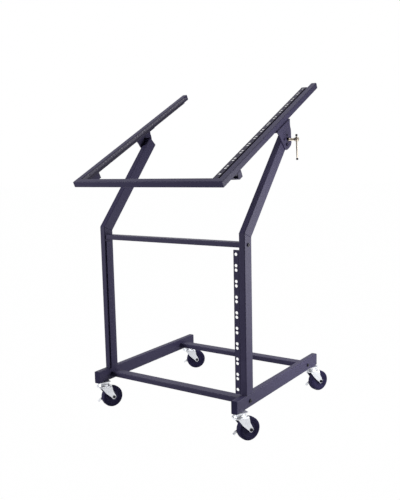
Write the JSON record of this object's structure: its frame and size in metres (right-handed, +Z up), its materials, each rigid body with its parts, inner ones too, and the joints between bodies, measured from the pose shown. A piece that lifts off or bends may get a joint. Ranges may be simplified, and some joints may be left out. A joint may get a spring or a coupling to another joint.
{
  "type": "rolling equipment rack stand",
  "caption": "Rolling steel rack stand with a vertical 19-inch bay between bent uprights and a tilting upper rack frame clamped by cross-handle screws, on braked swivel casters.",
  "frame": {"origin": "on the floor, under the middle of the whole stand's footprint", "axes": "+X to the user's right, -Y towards the user, +Z up"},
  "size_m": [0.601, 0.6221, 1.0256],
  "materials": {
    "frame_black": "fine textured powder coat, satin",
    "strip_black": "satin powder coat",
    "plug_black": "matt moulded",
    "bolt_black": "black oxide",
    "zinc": "bright zinc plate",
    "nickel": "nickel plate, satin",
    "tread": "matt rubber",
    "hub_plastic": "matt moulded"
  },
  "bodies": {
    "base": {"left_runner": "frame_black", "right_runner": "frame_black", "runner_end_plugs": "plug_black", "front_base_crossbar": "frame_black", "rear_base_crossbar": "frame_black", "mid_crossbar": "frame_black", "crossbar_inserts": "zinc", "crossbar_bolts": "bolt_black", "left_upright": "frame_black", "right_upright": "frame_black", "upright_tip_plugs": "plug_black", "left_lower_strip": "strip_black", "right_lower_strip": "strip_black", "pivot_bolts": "frame_black", "pivot_nuts": "zinc", "clamp_nuts": "zinc", "fl_top_plate": "zinc", "fr_top_plate": "zinc", "rl_top_plate": "zinc", "rr_top_plate": "zinc"},
    "tilting_frame": {"left_upper_rail": "frame_black", "right_upper_rail": "frame_black", "upper_front_bar": "frame_black", "rail_end_plugs": "plug_black", "left_upper_strip": "strip_black", "right_upper_strip": "strip_black", "left_gusset": "frame_black", "right_gusset": "frame_black", "left_stop_bracket": "frame_black", "right_stop_bracket": "frame_black"},
    "left_clamp": {"left_clamp_screw": "nickel"},
    "right_clamp": {"right_clamp_screw": "nickel"},
    "left_handle": {"left_handle_bar": "nickel"},
    "right_handle": {"right_handle_bar": "nickel"},
    "fl_swivel": {"fl_fork": "zinc", "fl_axle": "bolt_black"},
    "fl_wheel": {"fl_tyre": "tread", "fl_hub": "hub_plastic"},
    "fl_brake": {"fl_brake_lever": "zinc"},
    "fr_swivel": {"fr_fork": "zinc", "fr_axle": "bolt_black"},
    "fr_wheel": {"fr_tyre": "tread", "fr_hub": "hub_plastic"},
    "fr_brake": {"fr_brake_lever": "zinc"},
    "rl_swivel": {"rl_fork": "zinc", "rl_axle": "bolt_black"},
    "rl_wheel": {"rl_tyre": "tread", "rl_hub": "hub_plastic"},
    "rl_brake": {"rl_brake_lever": "zinc"},
    "rr_swivel": {"rr_fork": "zinc", "rr_axle": "bolt_black"},
    "rr_wheel": {"rr_tyre": "tread", "rr_hub": "hub_plastic"},
    "rr_brake": {"rr_brake_lever": "zinc"}
  },
  "joints": [
    {"name": "frame_tilt", "type": "hinge", "parent": "base", "child": "tilting_frame", "pos_m": [0, 0.05039, 0.82647], "axis": [1, 0, 0], "range_deg": [-22, 20]},
    {"name": "left_clamp_turn", "type": "hinge", "parent": "base", "child": "left_clamp", "pos_m": [-0.2945, 0.05797, 0.84177], "axis": [-1, 0, 0], "range_deg": [0, 180]},
    {"name": "left_handle_slide", "type": "slide", "parent": "left_clamp", "child": "left_handle", "axis": [0, -0.0698, 0.9976], "range_m": [-0.0025, 0.0485]},
    {"name": "right_clamp_turn", "type": "hinge", "parent": "base", "child": "right_clamp", "pos_m": [0.2945, 0.05797, 0.84177], "axis": [1, 0, 0], "range_deg": [0, 180]},
    {"name": "right_handle_slide", "type": "slide", "parent": "right_clamp", "child": "right_handle", "axis": [0, -0.0698, 0.9976], "range_m": [-0.0025, 0.0485]},
    {"name": "fl_swivel_turn", "type": "hinge", "parent": "base", "child": "fl_swivel", "pos_m": [-0.2545, -0.2267, 0.08], "axis": [0, 0, 1], "continuous": true},
    {"name": "fl_wheel_roll", "type": "hinge", "parent": "fl_swivel", "child": "fl_wheel", "pos_m": [-0.24383, -0.20081, 0.034], "axis": [0.9245, -0.3811, 0], "continuous": true},
    {"name": "fl_brake_press", "type": "hinge", "parent": "fl_swivel", "child": "fl_brake", "pos_m": [-0.24383, -0.20081, 0.034], "axis": [0.9245, -0.3811, 0], "range_deg": [0, 10]},
    {"name": "fr_swivel_turn", "type": "hinge", "parent": "base", "child": "fr_swivel", "pos_m": [0.2545, -0.2267, 0.08], "axis": [0, 0, 1], "continuous": true},
    {"name": "fr_wheel_roll", "type": "hinge", "parent": "fr_swivel", "child": "fr_wheel", "pos_m": [0.2666, -0.20145, 0.034], "axis": [0.9018, -0.4321, 0], "continuous": true},
    {"name": "fr_brake_press", "type": "hinge", "parent": "fr_swivel", "child": "fr_brake", "pos_m": [0.2666, -0.20145, 0.034], "axis": [0.9018, -0.4321, 0], "range_deg": [0, 10]},
    {"name": "rl_swivel_turn", "type": "hinge", "parent": "base", "child": "rl_swivel", "pos_m": [-0.2545, 0.251, 0.08], "axis": [0, 0, 1], "continuous": true},
    {"name": "rl_wheel_roll", "type": "hinge", "parent": "rl_swivel", "child": "rl_wheel", "pos_m": [-0.23584, 0.27187, 0.034], "axis": [0.7455, -0.6665, 0], "continuous": true},
    {"name": "rl_brake_press", "type": "hinge", "parent": "rl_swivel", "child": "rl_brake", "pos_m": [-0.23584, 0.27187, 0.034], "axis": [0.7455, -0.6665, 0], "range_deg": [0, 10]},
    {"name": "rr_swivel_turn", "type": "hinge", "parent": "base", "child": "rr_swivel", "pos_m": [0.2545, 0.251, 0.08], "axis": [0, 0, 1], "continuous": true},
    {"name": "rr_wheel_roll", "type": "hinge", "parent": "rr_swivel", "child": "rr_wheel", "pos_m": [0.26638, 0.27636, 0.034], "axis": [0.9056, -0.4242, 0], "continuous": true},
    {"name": "rr_brake_press", "type": "hinge", "parent": "rr_swivel", "child": "rr_brake", "pos_m": [0.26638, 0.27636, 0.034], "axis": [0.9056, -0.4242, 0], "range_deg": [0, 10]}
  ]
}
